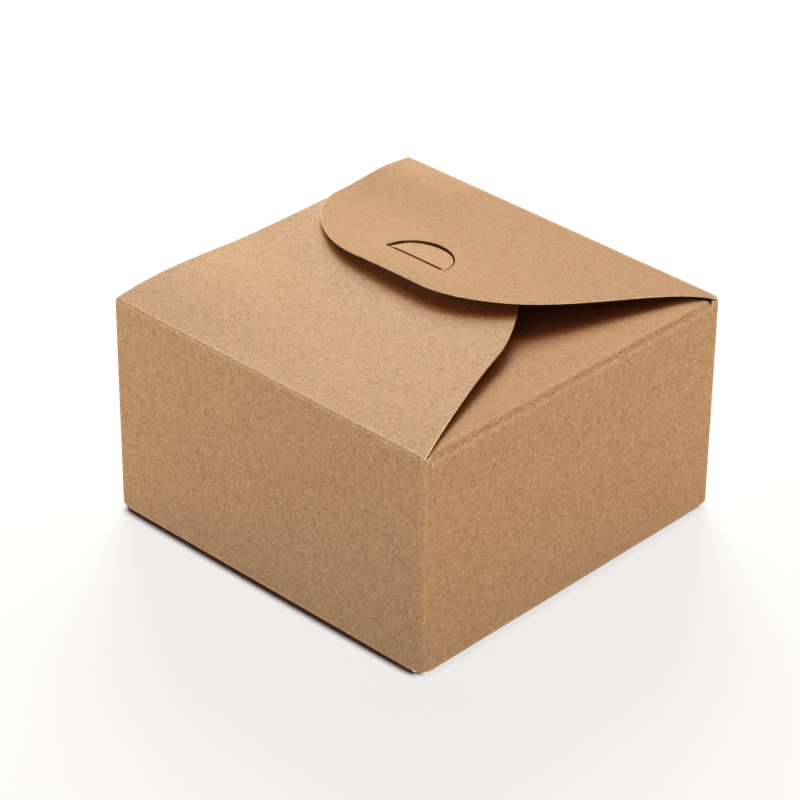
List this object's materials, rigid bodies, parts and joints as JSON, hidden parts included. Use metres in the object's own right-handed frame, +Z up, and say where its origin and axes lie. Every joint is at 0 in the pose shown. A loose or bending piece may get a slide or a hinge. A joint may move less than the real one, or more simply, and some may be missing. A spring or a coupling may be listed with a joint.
{
  "type": "candy box",
  "caption": "Square folded kraft board candy box with curved lock flaps held by a half-moon tongue, dust flaps and a snap-lock base.",
  "frame": {"origin": "middle of the base, on the surface that the box stands on", "axes": "+Z up; the front wall, which carries the lower lock flap, faces -Y; the right wall faces +X"},
  "size_m": [0.095, 0.095, 0.0564],
  "materials": {
    "kraft_outside": "uncoated brown kraft board, matte, with fine fibres and small dark specks",
    "kraft_inside": "uncoated brown kraft board, matte, a little rougher than the outside",
    "glue": "thin dried film of white carton glue"
  },
  "bodies": {
    "box_body": {"front_wall": "kraft_outside", "right_wall": "kraft_outside", "back_wall": "kraft_outside", "left_wall": "kraft_outside", "seam_tab": "kraft_inside", "seam_glue": "glue", "base_lock_flap": "kraft_inside", "base_main_flap": "kraft_inside", "base_left_flap": "kraft_inside", "base_right_flap": "kraft_inside"},
    "rear_lock_flap": {"rear_lock_flap": "kraft_outside"},
    "lock_tongue": {"lock_tongue": "kraft_outside"},
    "front_lock_flap": {"front_lock_flap": "kraft_outside"},
    "left_dust_flap": {"left_dust_flap": "kraft_inside"},
    "right_dust_flap": {"right_dust_flap": "kraft_inside"}
  },
  "joints": [
    {"name": "rear_lock_flap_hinge", "type": "hinge", "parent": "box_body", "child": "rear_lock_flap", "pos_m": [0, 0.0473, 0.0548], "axis": [-1, 0, 0], "range_deg": [0, 180]},
    {"name": "front_lock_flap_hinge", "type": "hinge", "parent": "box_body", "child": "front_lock_flap", "pos_m": [0, -0.0473, 0.0548], "axis": [1, 0, 0], "range_deg": [0, 180]},
    {"name": "left_dust_flap_hinge", "type": "hinge", "parent": "box_body", "child": "left_dust_flap", "pos_m": [-0.04698, 0, 0.0541], "axis": [0, 1, 0], "range_deg": [-7, 75]},
    {"name": "right_dust_flap_hinge", "type": "hinge", "parent": "box_body", "child": "right_dust_flap", "pos_m": [0.04698, 0, 0.0541], "axis": [0, -1, 0], "range_deg": [-7, 75]},
    {"name": "lock_tongue_hinge", "type": "hinge", "parent": "rear_lock_flap", "child": "lock_tongue", "pos_m": [-0.0109, 0.01092, 0.05591], "axis": [-1, 0, 0], "range_deg": [-5.9, 20]}
  ]
}
